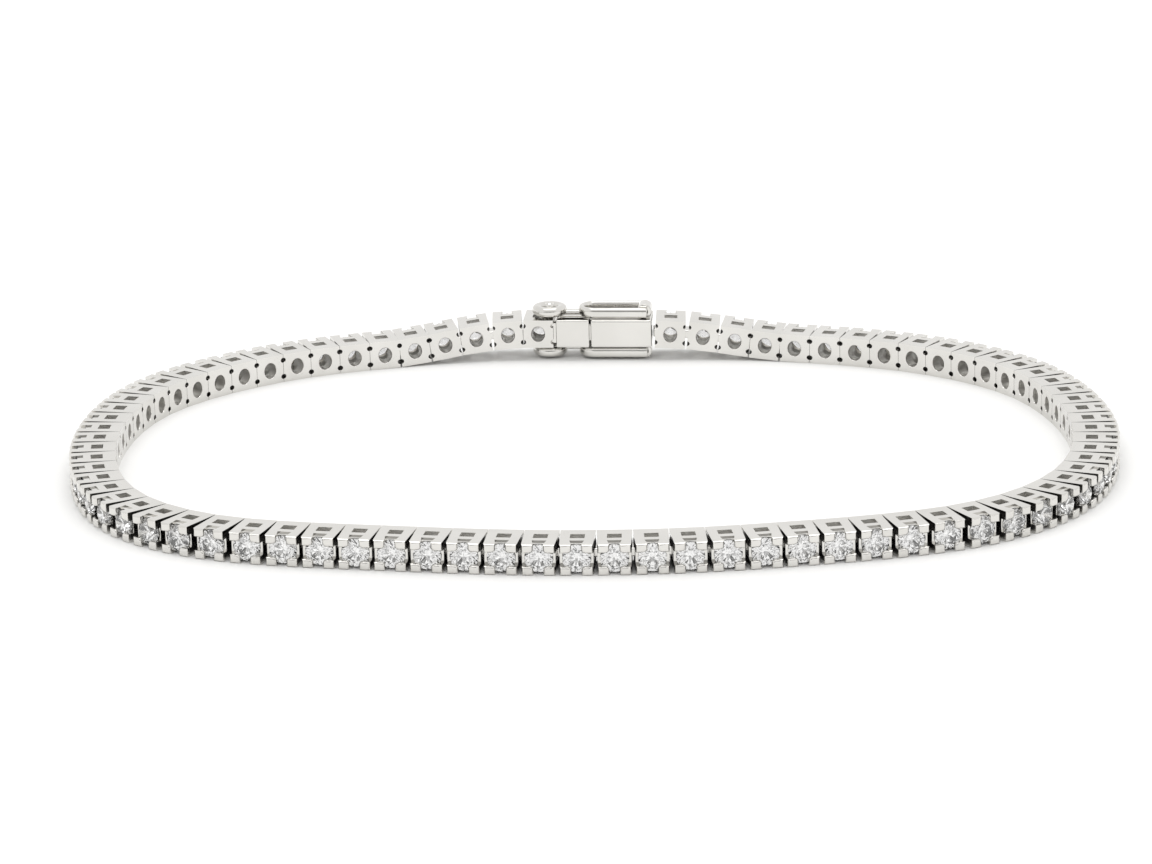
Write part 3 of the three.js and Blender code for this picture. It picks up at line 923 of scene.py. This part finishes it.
# Camera, at the photograph's angle
AIM = Vector((-1.101, -1.910, LINK_HEIGHT)) * MM
ELEVATION = math.radians(16.597)
AZIMUTH = math.radians(0.549)
ROLL = math.radians(-1.307)
DISTANCE = 311.55 * MM
LENS = 155.025
camera = bpy.data.cameras.new("camera")
camera.lens = LENS
camera.sensor_width = 36.0
camera.clip_start = 0.01
camera.clip_end = 20.0
viewer = bpy.data.objects.new("camera", camera)
bpy.context.scene.collection.objects.link(viewer)
back = Vector((-math.sin(AZIMUTH) * math.cos(ELEVATION), -math.cos(AZIMUTH) * math.cos(ELEVATION),
               math.sin(ELEVATION)))
viewer.location = AIM + back * DISTANCE
viewer.rotation_euler = (back.to_track_quat("Z", "Y").to_matrix() @ Matrix.Rotation(ROLL, 3, "Z")).to_euler()
bpy.context.scene.camera = viewer

# Pale floor
FLOOR_HALF = 1.6
floor_corners = [(-FLOOR_HALF, -FLOOR_HALF, 0), (FLOOR_HALF, -FLOOR_HALF, 0),
                 (FLOOR_HALF, FLOOR_HALF, 0), (-FLOOR_HALF, FLOOR_HALF, 0)]
floor = raw("floor", floor_corners, [(0, 1, 2, 3)])
paper = bpy.data.materials.new("floor_paper")
paper.use_nodes = True
paper_nodes, paper_links = paper.node_tree.nodes, paper.node_tree.links
paper_shader = paper_nodes["Principled BSDF"]
paper_shader.inputs["Roughness"].default_value = 0.7
paper_shader.inputs["Specular IOR Level"].default_value = 0.2
paper_place = paper_nodes.new("ShaderNodeTexCoord")
_, paper_tone = noise_ramp(paper_nodes, paper_links, paper_place.outputs["Object"], 30, 3,
                           ((0.2, (0.93, 0.93, 0.925)), (0.8, (0.95, 0.95, 0.945))))
paper_links.new(paper_tone.outputs["Color"], paper_shader.inputs["Base Color"])
floor.data.materials.append(paper)

# Soft studio light: a wide panel overhead, a pale room, and a dim side behind the camera
PANEL_SIZE = (0.42, 0.3)
PANEL_POWER = 0.9
PANEL_PLACE = (0.0, 0.05, 0.55)
ROOM_COLOUR = (1.0, 0.995, 0.985, 1.0)
DIM_STRENGTH = 0.36
panel = bpy.data.lights.new("panel", "AREA")
panel.shape = "RECTANGLE"
panel.size, panel.size_y = PANEL_SIZE
panel.energy = PANEL_POWER
panel_object = bpy.data.objects.new("panel", panel)
panel_object.location = PANEL_PLACE
bpy.context.scene.collection.objects.link(panel_object)

world = bpy.data.worlds.new("room")
bpy.context.scene.world = world
world.use_nodes = True
room_nodes, room_links = world.node_tree.nodes, world.node_tree.links
room_place = room_nodes.new("ShaderNodeTexCoord")
split = room_nodes.new("ShaderNodeSeparateXYZ")
room_links.new(room_place.outputs["Generated"], split.inputs["Vector"])


def span(source, low, high, to_low=0.0, to_high=1.0):
    node = room_nodes.new("ShaderNodeMapRange")
    node.interpolation_type = "SMOOTHSTEP"
    for socket, value in zip(("From Min", "From Max", "To Min", "To Max"), (low, high, to_low, to_high)):
        node.inputs[socket].default_value = value
    room_links.new(source, node.inputs["Value"])
    return node.outputs["Result"]


def times(a, b):
    node = room_nodes.new("ShaderNodeMath")
    node.operation = "MULTIPLY"
    room_links.new(a, node.inputs[0])
    room_links.new(b, node.inputs[1])
    return node.outputs["Value"]


near_side = span(split.outputs["Y"], -0.96, -0.62, 1.0, 0.0)
low_down = span(split.outputs["Z"], 0.22, 0.5, 1.0, 0.0)
dim = times(near_side, low_down)
strength = span(dim, 0.0, 1.0, 1.0, DIM_STRENGTH)
room_links.new(strength, room_nodes["Background"].inputs["Strength"])
room_nodes["Background"].inputs["Color"].default_value = ROOM_COLOUR
bpy.context.scene.view_settings.view_transform = "Standard"
